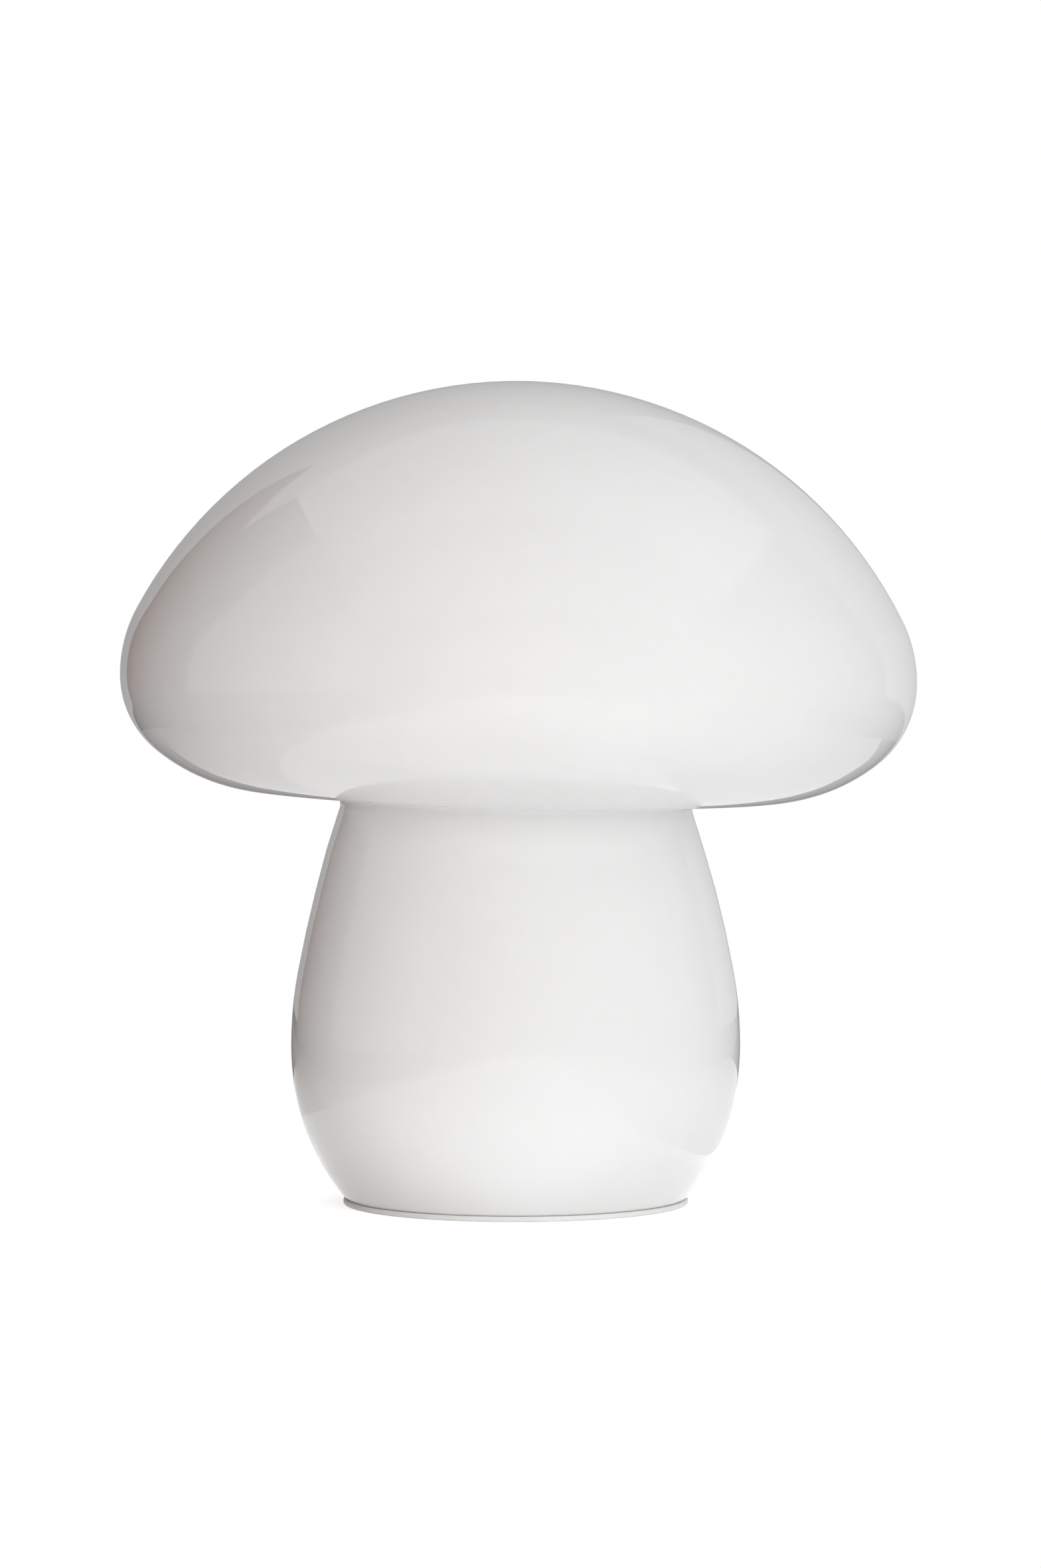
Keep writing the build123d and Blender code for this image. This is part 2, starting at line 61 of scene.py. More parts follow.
SAME = 1e-6                 # two sizes that differ by less are the same
MERGE_DISTANCE = 1e-7

# Degrees between two points of an arc: of the glass, and of the small roundings
TURN_STEP = 2.5
RIM_STEP, HEAD_STEP, CORNER_STEP, EDGE_STEP = 10.0, 12.0, 15.0, 30.0

# Glass: rings of the outer face, headings in degrees down from level, and balances of the arcs
CAP_TOP_Z = 310.3 * MM
CAP_RADIUS = 149.9 * MM
CAP_WIDEST_Z = 198.5 * MM
UNDERSIDE_RADIUS = 93.0 * MM
UNDERSIDE_Z = 153.3 * MM
NECK_FILLET = 3.5 * MM
NECK_RADIUS = 66.6 * MM
NECK_FLARE = 18.4
BELLY_RADIUS = 84.8 * MM
BELLY_Z = 59.9 * MM
MOUTH_RADIUS = 61.9 * MM
FOOT_FLARE = 39.8
RIM_ROUND = 2.4 * MM
GLASS_WALL = 4.0 * MM
CROWN_BALANCE = 0.131
LIP_BALANCE = 1.3
STEM_BALANCE = 0.454
FOOT_BALANCE = 1.78
GLASS_STEPS = 224           # round the axis
UNDERSIDE_ROWS = 4
NOTCH_PLAY = 0.8 * MM       # between the cord inlet's flange and the notch
NOTCH_STEPS = 64

# How the hand-blown cap leans and waves, over the top of the stem
CAP_LEAN = 0.97             # degrees, to the right
CAP_SHIFT = 0.28 * MM
LEAN_START_Z = 110.0 * MM
LIP_LIFT = 1.15 * MM        # how much higher the lip sits on the left
LIFT_START = 22.2 * MM      # how far left of the axis the lift begins
BLOWN_WAVE = 0.16 * MM
BLOWN_WAVE_LENGTH = 75.0 * MM

# Trim
TRIM_LEG = 0.6 * MM         # thickness of the upper and lower leg
TRIM_ROUND = 0.7 * MM       # of the two outer corners
TRIM_GRIP = 2.5 * MM        # how far the trim reaches in over the flange
SLIP_GAP = 0.1 * MM         # between pieces that are pushed together

# Bulb cap and socket: a round thread, the same on both
THREAD_PITCH = 3.629 * MM
THREAD_DEPTH = 0.9 * MM
THREAD_PLAY = 0.35 * MM     # between the two threads
THREAD_LOW_Z = 56.5 * MM
THREAD_HIGH_Z = 70.5 * MM
CAP_SHEET = 0.3 * MM
ROWS_PER_TURN = 12          # rows of a wall that is wound to a thread
THREAD_STEPS = 96           # round the axis
GRIP_RIBS = 36
GRIP_DEPTH = 0.6 * MM
GRIP_ROWS = 16
SOCKET_PLAY = 0.45 * MM     # between the bulb's cap and the plain bore
SOCKET_FLOOR_STEP = 1.45 * MM         # the bore widens by it at the floor
SPIGOT_STEP = 1.9 * MM      # from the lower half's outside in to its spigot
GRIP_LOW_MARGIN = 10.0 * MM
GRIP_HIGH_MARGIN = 8.0 * MM
EDGE_ROUND = 0.6 * MM
MOUTH_ROUND = 1.0 * MM
CAP_LIP = 0.8 * MM

# Driver board: the capacitor's can, and chips of one width and height each round the middle
BOARD_THICKNESS = 1.2 * MM
BOARD_ROUND = 0.2 * MM
CAN_RADIUS, CAN_OFFSET, CAN_ROUND = 3.2 * MM, 5.5 * MM, 0.6 * MM
CAN_STEPS, CAN_ROUND_STEPS = 32, 4
CHIP_CIRCLE = 7.5 * MM
CHIP_START_ANGLE, CHIP_TURN = 115.0, 45.0
CHIP_SIZES = ((2.2 * MM, 1.4 * MM), (1.6 * MM, 0.8 * MM), (1.2 * MM, 0.6 * MM), (1.8 * MM, 1.1 * MM))
CHIP_LENGTH = 1.6           # times its width

# Fixing tube and cover screws
TUBE_BORE = 4.0 * MM
SCREW_RADIUS, SCREW_HEAD_RADIUS, SCREW_HEAD_ROUND = 1.5 * MM, 2.8 * MM, 1.26 * MM
SCREW_CIRCLE, SCREW_COUNT, SCREW_START_ANGLE = 48.0 * MM, 3, 30.0
TUBE_PITCH = 1.0 * MM
TUBE_THREAD_DEPTH = 0.55 * MM
SCREW_PITCH = 0.5 * MM
SCREW_THREAD_DEPTH = 0.28 * MM
SMALL_ROWS_PER_TURN = 6
SMALL_STEPS = 40
CROSS_WIDTH = 0.9 * MM      # of the recess in a screw's head
CROSS_REACH = 1.7 * MM
CROSS_DEPTH = 1.2 * MM
CROSS_TAPER = (0.45, 0.6, 1)          # share of length and width that is left at its bottom

# Camera
PHOTO_HEIGHT = 2362
CAMERA_DISTANCE = 2.2
CAMERA_HEIGHT = 0.2472
CAMERA_SIDE = 0.0018
AIM_HEIGHT = 0.15853
FOCAL_PIXELS = 8788.5
SENSOR_SIZE = 36.0


# ---- Outlines and solids of revolution ----

def heading(degrees_down):
    """Direction in the XZ plane, turned down from level and outward."""
    return Vector((cos(radians(degrees_down)), 0, -sin(radians(degrees_down))))


class Pen:
    """Draws edges in the XZ half plane: straight runs, and arcs that follow on tangentially."""

    def __init__(self, bm, radius, height, facing=0.0):
        self.bm, self.facing = bm, facing
        self.tip = self.start = bm.verts.new((radius, 0, height))

    def line(self, radius, height, rows=1):
        """A straight run, cut into rows of one length."""
        first, last = self.tip.co.copy(), Vector((radius, 0, height))
        for row in range(rows):
            grown = bmesh.ops.extrude_vert_indiv(self.bm, verts=[self.tip])
            self.tip = grown["verts"][0]
            self.tip.co = first.lerp(last, (row + 1) / rows)

    def arc(self, radius, turn, step=TURN_STEP):
        """An arc that turns down by turn degrees, or up if it is negative."""
        side = 1 if turn > 0 else -1
        centre = self.tip.co + heading(self.facing + 90) * radius * side
        grown = bmesh.ops.spin(
            self.bm, geom=[self.tip], cent=centre, axis=(0, 1, 0), angle=radians(turn),
            steps=max(3, ceil(abs(turn) / step)), use_merge=False, use_duplicate=False,
        )
        self.tip = [item for item in grown["geom_last"] if isinstance(item, bmesh.types.BMVert)][0]
        self.facing += turn

    def face(self, degrees_down):
        """Sets the heading in which the next arc starts."""
        self.facing = degrees_down
        return self

    def close(self):
        """Joins the tip to the start."""
        self.bm.edges.new((self.tip, self.start))


def arc_pair(start, end, first, last, balance):
    """Radius and turn of two tangent arcs between two rings, for the headings at their ends."""
    chord = Vector((end[0] - start[0], 0, end[1] - start[1]))
    leave, arrive = heading(first), heading(last)
    reach = chord.dot(leave + arrive * balance)
    bow = 2 * balance * (1 - leave.dot(arrive))
    tangent = (sqrt(reach**2 + bow * chord.dot(chord)) - reach) / bow
    middle = chord - (leave + arrive * balance) * tangent
    turn_1, turn_2 = leave.angle(middle), middle.angle(arrive)
    return [
        (tangent / tan(turn_1 / 2), turn_1 * 180 / pi),
        (tangent * balance / tan(turn_2 / 2), turn_2 * 180 / pi),
    ]


def turn_round(bm, steps):
    """Spins every edge about Z into a closed solid."""
    bmesh.ops.spin(
        bm, geom=bm.verts[:] + bm.edges[:], cent=(0, 0, 0), axis=(0, 0, 1), angle=2 * pi,
        steps=steps, use_merge=True, use_duplicate=False,
    )
    bmesh.ops.remove_doubles(bm, verts=bm.verts, dist=MERGE_DISTANCE)
    bmesh.ops.recalc_face_normals(bm, faces=bm.faces)


def smooth_step(value, low, high):
    share = min(1, max(0, (value - low) / (high - low)))
    return share * share * (3 - 2 * share)


def wall_verts(bm, radius, low, high):
    """The points of a turned wall of one radius, between two heights."""
    return [
        vert for vert in bm.verts
        if abs(vert.co.xy.length - radius) < SAME and low - SAME < vert.co.z < high + SAME
    ]


def set_radius(vert, radius):
    vert.co.xy = vert.co.xy.normalized() * radius


def wind_thread(verts, pitch, root, crest, low, high, below, above):
    """Moves a turned wall in and out to a right-hand round thread that fades into plain ends.

    below and above are the radii of the plain wall under and over the thread.
    """
    for vert in verts:
        wave = (1 + cos(2 * pi * vert.co.z / pitch - atan2(vert.co.y, vert.co.x))) / 2
        radius = root + (crest - root) * wave
        radius += (below - radius) * (1 - smooth_step(vert.co.z, low, low + pitch / 2))
        radius += (above - radius) * smooth_step(vert.co.z, high - pitch / 2, high)
        set_radius(vert, radius)


def thread_rows():
    return ceil((THREAD_HIGH_Z - THREAD_LOW_Z) / THREAD_PITCH * ROWS_PER_TURN)


def add_piece(name, bm, body, slot, *nodes, sharp_from=32.0):
    """Makes the mesh an object that rides on a body, takes a slot and stands for CAD nodes."""
    mesh = bpy.data.meshes.new(name)
    bm.to_mesh(mesh)
    bm.free()
    piece = bpy.data.objects.new(name, mesh)
    bpy.context.scene.collection.objects.link(piece)
    mesh.shade_smooth()
    mesh.set_sharp_from_angle(angle=radians(sharp_from))
    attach(piece, body)
    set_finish(piece, slot)
    if nodes:
        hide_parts(*nodes)
    return piece


def cut_away(bm, cutter):
    """Takes the solid of one mesh out of another and gives the result as a new mesh."""
    scene = bpy.context.scene
    solids = []
    for name, source in (("solid", bm), ("cutter", cutter)):
        solid = bpy.data.objects.new(name, bpy.data.meshes.new(name))
        source.to_mesh(solid.data)
        source.free()
        scene.collection.objects.link(solid)
        solids.append(solid)
    cut = solids[0].modifiers.new("cut", "BOOLEAN")
    cut.operation, cut.solver, cut.object = "DIFFERENCE", "EXACT", solids[1]
    bpy.context.view_layer.update()
    result = bmesh.new()
    result.from_object(solids[0], bpy.context.evaluated_depsgraph_get())
    for solid in solids:
        bpy.data.meshes.remove(solid.data)
    return result


# ---- Glass ----

def glass_arcs():
    """Every stretch of the outer face below the top, as (radius, turn), split at the underside."""
    flare = radians(FOOT_FLARE)
    foot = (
        MOUTH_RADIUS + GLASS_WALL * cos(flare),
        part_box("glass_body")[0].z + RIM_ROUND * (1 - sin(flare)),
    )
    neck = (NECK_RADIUS, UNDERSIDE_Z - NECK_FILLET * (1 + sin(radians(NECK_FLARE))))
    widest, lowest = (CAP_RADIUS, CAP_WIDEST_Z), (UNDERSIDE_RADIUS, UNDERSIDE_Z)
    belly = (BELLY_RADIUS, BELLY_Z)
    cap = arc_pair((0, CAP_TOP_Z), widest, 0, 90, CROWN_BALANCE)
    cap += arc_pair(widest, lowest, 90, 180, LIP_BALANCE)
    stem = arc_pair(neck, belly, 90 - NECK_FLARE, 90, STEM_BALANCE)
    stem += arc_pair(belly, foot, 90, 90 + FOOT_FLARE, FOOT_BALANCE)
    return cap, stem


def draw_glass(bm, depth):
    """One face of the glass, at a depth below its outside."""
    cap, stem = glass_arcs()
    pen = Pen(bm, 0, CAP_TOP_Z - depth)
    for radius, turn in cap:
        pen.arc(radius - depth, turn)
    fillet_start = NECK_RADIUS + NECK_FILLET * cos(radians(NECK_FLARE))
    pen.line(fillet_start, UNDERSIDE_Z + depth, rows=UNDERSIDE_ROWS)
    pen.arc(NECK_FILLET + depth, -90 - NECK_FLARE)
    for radius, turn in stem:
        pen.arc(radius - depth, turn)
    return pen


def lean(point):
    """The cap leans to the right of the stem, its lip sits higher on the left, and it waves a little."""
    share = smooth_step(point.z, LEAN_START_Z, UNDERSIDE_Z)
    pivot = Vector((0, 0, UNDERSIDE_Z))
    turned = Matrix.Rotation(radians(CAP_LEAN) * share, 3, "Y") @ (point - pivot) + pivot
    turned.x += CAP_SHIFT * share
    level = Vector((point.x, point.y, 0))
    lift = share * smooth_step(CAP_WIDEST_Z - point.z, 0, CAP_WIDEST_Z - UNDERSIDE_Z)
    lift *= smooth_step(level.length, NECK_RADIUS, UNDERSIDE_RADIUS)
    turned.z += LIP_LIFT * lift * smooth_step(-point.x, LIFT_START, UNDERSIDE_RADIUS)
    wave = noise.noise(point / BLOWN_WAVE_LENGTH) * BLOWN_WAVE
    return turned + level.normalized() * wave * smooth_step(level.length, 0, 2 * GLASS_WALL)


def notch_cutter():
    """An arch over the cord inlet: a round hole whose lower half is drawn down past the rim."""
    low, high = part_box("cord_inlet_bush")
    middle = (low.z + high.z) / 2
    radius = (high.z - low.z) / 2 + NOTCH_PLAY
    arch = bmesh.new()
    bmesh.ops.create_circle(arch, cap_ends=True, radius=radius, segments=NOTCH_STEPS)
    bmesh.ops.rotate(arch, verts=arch.verts, cent=(0, 0, 0), matrix=Matrix.Rotation(pi / 2, 3, "X"))
    lower = [vert for vert in arch.verts if vert.co.z < 0]
    bmesh.ops.translate(arch, verts=lower, vec=(0, 0, -2 * middle))
    bmesh.ops.translate(arch, verts=arch.verts, vec=(0, 0, middle))
    grown = bmesh.ops.extrude_face_region(arch, geom=arch.faces[:])
    far = [item for item in grown["geom"] if isinstance(item, bmesh.types.BMVert)]
    bmesh.ops.translate(arch, verts=far, vec=(0, BELLY_RADIUS + GLASS_WALL, 0))
    bmesh.ops.recalc_face_normals(arch, faces=arch.faces)
    return arch


def make_glass():
    """One blown shell: cap and stem, with a ground rim and a notch at the back."""
    bm = bmesh.new()
    outside = draw_glass(bm, 0)
    outside.arc(RIM_ROUND, 90 - FOOT_FLARE, step=RIM_STEP)
    outside.line(MOUTH_RADIUS, outside.tip.co.z)
    inside = draw_glass(bm, GLASS_WALL)
    bm.edges.new((outside.tip, inside.tip))
    turn_round(bm, GLASS_STEPS)
    for vert in bm.verts:
        vert.co = lean(vert.co)
    bm = cut_away(bm, notch_cutter())
    return add_piece("blown_glass", bm, "glass", "opal_glass", "glass_body", sharp_from=50)


# ---- Base ----

def make_trim():
    """Moulded edge trim: a U section round the flange of the base, with rounded corners outside."""
    low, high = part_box("rim_trim")
    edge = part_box("base_plate")[1].x
    flange, wall = edge + SLIP_GAP, edge - TRIM_GRIP
    bm = bmesh.new()
    pen = Pen(bm, wall, high.z)
    pen.line(high.x - TRIM_ROUND, high.z)
    pen.arc(TRIM_ROUND, 90, step=CORNER_STEP)
    pen.line(high.x, low.z + TRIM_ROUND)
    pen.arc(TRIM_ROUND, 90, step=CORNER_STEP)
    pen.line(wall, low.z)
    pen.line(wall, low.z + TRIM_LEG)
    pen.line(flange, low.z + TRIM_LEG)
    pen.line(flange, high.z - TRIM_LEG)
    pen.line(wall, high.z - TRIM_LEG)
    pen.close()
    turn_round(bm, GLASS_STEPS)
    return add_piece("moulded_trim", bm, "base", "soft_trim", "rim_trim", sharp_from=40)


def thread_shank(bm, radius, low, high, depth, pitch):
    """Winds a thread on a turned shank whose wall was drawn in rows."""
    verts = wall_verts(bm, radius, low, high)
    wind_thread(verts, pitch, radius - depth, radius, low, high, radius - depth, radius - depth)


def small_rows(low, high, pitch):
    return ceil((high - low) / pitch * SMALL_ROWS_PER_TURN)


def make_tube():
    """Hollow tube with a fine thread along its outside."""
    low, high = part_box("threaded_tube")
    radius = high.x
    bm = bmesh.new()
    pen = Pen(bm, TUBE_BORE, low.z)
    pen.line(radius - TUBE_THREAD_DEPTH, low.z)
    pen.line(radius, low.z + TUBE_THREAD_DEPTH)
    pen.line(radius, high.z - TUBE_THREAD_DEPTH, rows=small_rows(low.z, high.z, TUBE_PITCH))
    pen.line(radius - TUBE_THREAD_DEPTH, high.z)
    pen.line(TUBE_BORE, high.z)
    pen.close()
    turn_round(bm, SMALL_STEPS)
    thread_shank(bm, radius, low.z, high.z, TUBE_THREAD_DEPTH, TUBE_PITCH)
    return add_piece("fixing_tube", bm, "base", "zinc_steel", "threaded_tube")


def cross_bar(turn, low_z):
    """One of two crossed wedges, narrower at the bottom of the recess."""
    bar = bmesh.new()
    bmesh.ops.create_cube(bar, size=1)
    bmesh.ops.scale(bar, verts=bar.verts, vec=(2 * CROSS_REACH, CROSS_WIDTH, 2 * CROSS_DEPTH))
    bmesh.ops.scale(bar, verts=[vert for vert in bar.verts if vert.co.z > 0], vec=CROSS_TAPER)
    bmesh.ops.rotate(bar, verts=bar.verts, cent=(0, 0, 0), matrix=Matrix.Rotation(turn, 3, "Z"))
    bmesh.ops.translate(bar, verts=bar.verts, vec=(0, 0, low_z))
    return bar


def make_screw():
    """Pan-head screw with a cross recess, standing on the Z axis with its head down."""
    low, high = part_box("cover_screws")
    top_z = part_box("bottom_cover")[0].z
    bm = bmesh.new()
    pen = Pen(bm, 0, low.z)
    pen.line(SCREW_HEAD_RADIUS - SCREW_HEAD_ROUND, low.z)
    pen.arc(SCREW_HEAD_ROUND, -90, step=HEAD_STEP)
    pen.line(SCREW_HEAD_RADIUS, top_z)
    pen.line(SCREW_RADIUS, top_z)
    pen.line(SCREW_RADIUS, high.z - SCREW_RADIUS / 2, rows=small_rows(top_z, high.z, SCREW_PITCH))
    pen.line(SCREW_RADIUS / 2, high.z)
    pen.line(0, high.z)
    turn_round(bm, SMALL_STEPS)
    thread_shank(bm, SCREW_RADIUS, top_z, high.z, SCREW_THREAD_DEPTH, SCREW_PITCH)
    return cut_away(cut_away(bm, cross_bar(0, low.z)), cross_bar(pi / 2, low.z))


def make_screws():
    """Three screws on their circle, under the bottom cover."""
    screws = make_screw()
    first = screws.verts[:] + screws.edges[:] + screws.faces[:]
    bmesh.ops.translate(screws, verts=screws.verts, vec=(SCREW_CIRCLE, 0, 0))
    start = Matrix.Rotation(radians(SCREW_START_ANGLE), 3, "Z")
    bmesh.ops.rotate(screws, verts=screws.verts, cent=(0, 0, 0), matrix=start)
    for place in range(1, SCREW_COUNT):
        copy = bmesh.ops.duplicate(screws, geom=first)["geom"]
        verts = [item for item in copy if isinstance(item, bmesh.types.BMVert)]
        turn = Matrix.Rotation(2 * pi * place / SCREW_COUNT, 3, "Z")
        bmesh.ops.rotate(screws, verts=verts, cent=(0, 0, 0), matrix=turn)
    return add_piece("cross_screws", screws, "base", "zinc_steel", "cover_screws")


# ---- Lampholder ----

def make_socket():
    """Upper half of the lampholder: a threaded socket inside and a ribbed grip band outside."""
    low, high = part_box("holder_shell")
    radius = high.x
    floor_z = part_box("holder_insert")[1].z
    tip_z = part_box("bulb_tip")[0].z
    cap_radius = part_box("bulb_screw_cap")[1].x
    bore = cap_radius + SOCKET_PLAY
    thread_foot = THREAD_LOW_Z - THREAD_PITCH / 2
    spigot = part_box("holder_cap")[1].x - SPIGOT_STEP + SLIP_GAP
    grip_low, grip_high = low.z + GRIP_LOW_MARGIN, high.z - GRIP_HIGH_MARGIN
    valley = radius - GRIP_DEPTH
    bm = bmesh.new()
    pen = Pen(bm, spigot, low.z, facing=-90)
    pen.line(radius - EDGE_ROUND, low.z)
    pen.face(0).arc(EDGE_ROUND, -90, step=EDGE_STEP)
    pen.line(radius, grip_low)
    pen.line(valley, grip_low + GRIP_DEPTH)
    pen.line(valley, grip_high - GRIP_DEPTH, rows=GRIP_ROWS)
    pen.line(radius, grip_high)
    pen.line(radius, high.z - MOUTH_ROUND)
    pen.face(-90).arc(MOUTH_ROUND, -90, step=CORNER_STEP)
    pen.line(bore + MOUTH_ROUND, high.z)
    pen.arc(MOUTH_ROUND, -90, step=CORNER_STEP)
    pen.line(bore, THREAD_HIGH_Z)
    pen.line(bore, thread_foot, rows=thread_rows() + ROWS_PER_TURN // 2)
    pen.line(bore, tip_z)
    pen.line(bore + SOCKET_FLOOR_STEP, tip_z - SOCKET_FLOOR_STEP)
    pen.line(bore + SOCKET_FLOOR_STEP, floor_z)
    pen.line(spigot, floor_z)
    pen.close()
    turn_round(bm, 3 * THREAD_STEPS)
    for vert in wall_verts(bm, valley, grip_low + 1.5 * GRIP_DEPTH, grip_high - 1.5 * GRIP_DEPTH):
        rib = abs(sin(GRIP_RIBS / 2 * atan2(vert.co.y, vert.co.x)))
        set_radius(vert, valley + GRIP_DEPTH * (1 - rib**3))
    crest, groove = cap_radius - THREAD_DEPTH + THREAD_PLAY, cap_radius + THREAD_PLAY
    verts = wall_verts(bm, bore, thread_foot, THREAD_HIGH_Z)
    wind_thread(verts, THREAD_PITCH, crest, groove, thread_foot, THREAD_HIGH_Z, bore, bore)
    return add_piece("threaded_socket", bm, "base", "white_plastic", "holder_shell", sharp_from=38)


# ---- Bulb ----

def make_bulb_cap():
    """Rolled sheet cap: a shoulder, a round thread that shows on both faces, and a collar."""
    low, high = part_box("bulb_screw_cap")
    crest = high.x
    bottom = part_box("bulb_insulator")[1].x + CAP_SHEET
    bm = bmesh.new()
    pen = Pen(bm, bottom - CAP_SHEET, low.z)
    pen.line(bottom, low.z)
    pen.line(crest, THREAD_LOW_Z)
    pen.line(crest, THREAD_HIGH_Z, rows=thread_rows())
    pen.line(crest, high.z - CAP_LIP)
    pen.line(crest - CAP_LIP / 2, high.z)
    pen.line(crest - CAP_SHEET - CAP_LIP / 2, high.z)
    pen.line(crest - CAP_SHEET, high.z - CAP_LIP)
    pen.line(crest - CAP_SHEET, THREAD_HIGH_Z)
    pen.line(crest - CAP_SHEET, THREAD_LOW_Z, rows=thread_rows())
    pen.close()
    turn_round(bm, THREAD_STEPS)
    for wall in (crest, crest - CAP_SHEET):
        verts = wall_verts(bm, wall, THREAD_LOW_Z, THREAD_HIGH_Z)
        root = wall - THREAD_DEPTH
        wind_thread(verts, THREAD_PITCH, root, wall, THREAD_LOW_Z, THREAD_HIGH_Z, root, wall)
    return add_piece("threaded_cap", bm, "bulb", "nickel_cap", "bulb_screw_cap", sharp_from=45)


def add_capacitor(bm, low_z, high_z):
    """Upright can with rounded rims."""
    height = high_z - low_z
    can = bmesh.ops.create_cone(
        bm, cap_ends=True, segments=CAN_STEPS, radius1=CAN_RADIUS, radius2=CAN_RADIUS, depth=height,
        matrix=Matrix.Translation((CAN_OFFSET, 0, low_z + height / 2)),
    )["verts"]
    edges = {edge for vert in can for edge in vert.link_edges}
    rims = [edge for edge in edges if abs(edge.verts[0].co.z - edge.verts[1].co.z) < SAME]
    bmesh.ops.bevel(
        bm, geom=rims, offset=CAN_ROUND, segments=CAN_ROUND_STEPS, profile=0.5, affect="EDGES",
        material=-1,
    )


def make_driver():
    """Round driver board with a capacitor and small parts on it."""
    low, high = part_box("bulb_driver")
    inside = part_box("bulb_screw_cap")[1].x - THREAD_DEPTH - CAP_SHEET - SLIP_GAP / 2
    bm = bmesh.new()
    pen = Pen(bm, 0, low.z)
    pen.line(inside - BOARD_ROUND, low.z)
    pen.line(inside, low.z + BOARD_ROUND)
    pen.line(inside, low.z + BOARD_THICKNESS)
    pen.line(0, low.z + BOARD_THICKNESS)
    turn_round(bm, THREAD_STEPS // 2)
    add_capacitor(bm, low.z + BOARD_THICKNESS, high.z)
    for place, (width, height) in enumerate(CHIP_SIZES):
        chip = bmesh.ops.create_cube(bm, size=1)["verts"]
        bmesh.ops.scale(bm, verts=chip, vec=(width, width * CHIP_LENGTH, height))
        turn = radians(CHIP_START_ANGLE + CHIP_TURN * place)
        middle = Vector((cos(turn), sin(turn), 0)) * CHIP_CIRCLE
        middle.z = low.z + BOARD_THICKNESS + height / 2
        bmesh.ops.translate(bm, verts=chip, vec=middle)
    return add_piece("driver_board", bm, "bulb", "driver_board", "bulb_driver", sharp_from=30)


# ---- Finishes ----

class Signal:
    """An output of a material's node. Adding, multiplying and so on adds Math nodes."""

    def __init__(self, finish, socket):
        self.finish, self.socket = finish, socket

    def maths(self, operation, first, second):
        return self.finish.node("Math", {"operation": operation}, {0: first, 1: second})

    def __add__(self, other):
        return self.maths("ADD", self, other)

    def __sub__(self, other):
        return self.maths("SUBTRACT", self, other)

    def __rsub__(self, other):
        return self.maths("SUBTRACT", other, self)

    def __mul__(self, other):
        return self.maths("MULTIPLY", self, other)

    __radd__ = __add__
    __rmul__ = __mul__


class Finish:
    """One material, whose nodes are written as Python expressions."""

    def __init__(self, name):
        self.material = bpy.data.materials.new(name)
        self.material.use_nodes = True
        self.tree = self.material.node_tree
        self.tree.nodes.clear()
        self.place = self.node("TexCoord", {}, {}, "Object")

    def node(self, kind, settings, sockets, output=0):
        """Adds a node: its settings first, then the values or links of its sockets."""
        made = self.tree.nodes.new("ShaderNode" + kind)
        for key, value in settings.items():
            setattr(made, key, value)
        for key, value in sockets.items():
            if isinstance(value, Signal):
                self.tree.links.new(value.socket, made.inputs[key])
            else:
                made.inputs[key].default_value = value
        return Signal(self, made.outputs[output])

    def noise(self, size, detail=2.0, place=None):
        """Soft noise from 0 to 1, whose patches are about size across."""
        sockets = {"Vector": place or self.place, "Scale": 1 / size, "Detail": detail}
        return self.node("TexNoise", {}, sockets)

    def cells(self, size, feature="F1"):
        """Distance to the nearest of points strewn about size apart, or to the edge between two."""
        return self.node("TexVoronoi", {"feature": feature}, {"Vector": self.place, "Scale": 1 / size})

    def stretched(self, along_x, along_y, along_z):
        """Object coordinates stretched along the axes, for brushed and drawn marks."""
        scale = (1 / along_x, 1 / along_y, 1 / along_z)
        return self.node("Mapping", {}, {"Vector": self.place, "Scale": scale})

    def step(self, value, low, high):
        """0 below low, 1 above high and a smooth rise between, for any order of the two."""
        settings = {"interpolation_type": "SMOOTHSTEP"}
        return self.node("MapRange", settings, {0: value, 1: low, 2: high, 3: 0.0, 4: 1.0})

    def part_of(self, axis):
        """One of the Object coordinates."""
        return self.node("SeparateXYZ", {}, {0: self.place}, axis)

    def mix(self, share, first, second):
        """From the first colour to the second."""
        colours = {0: share, 6: rgba(first), 7: rgba(second)}
        return self.node("Mix", {"data_type": "RGBA"}, colours, 2)

    def bump(self, height, depth, under=None):
        """Relief of a depth, on top of the relief under it."""
        sockets = {"Height": height, "Distance": depth}
        if under:
            sockets["Normal"] = under
        return self.node("Bump", {}, sockets)

    def surface(self, **sockets):
        """The one shader of the material. A key such as base_color stands for Base Color."""
        named = {}
        for key, value in sockets.items():
            label = key.replace("_", " ").title().replace("Ior", "IOR")
            named[label] = rgba(value) if label.endswith("Color") else value
        self.node_output(self.node("BsdfPrincipled", {}, named))
        return self.material

    def node_output(self, shader):
        """Makes the shader the surface of the material."""
        made = self.tree.nodes.new("ShaderNodeOutputMaterial")
        self.tree.links.new(shader.socket, made.inputs["Surface"])


def rgba(colour):
    """A plain colour with its fourth value. A signal stays as it is."""
    return (*colour, 1.0) if isinstance(colour, tuple) else colour


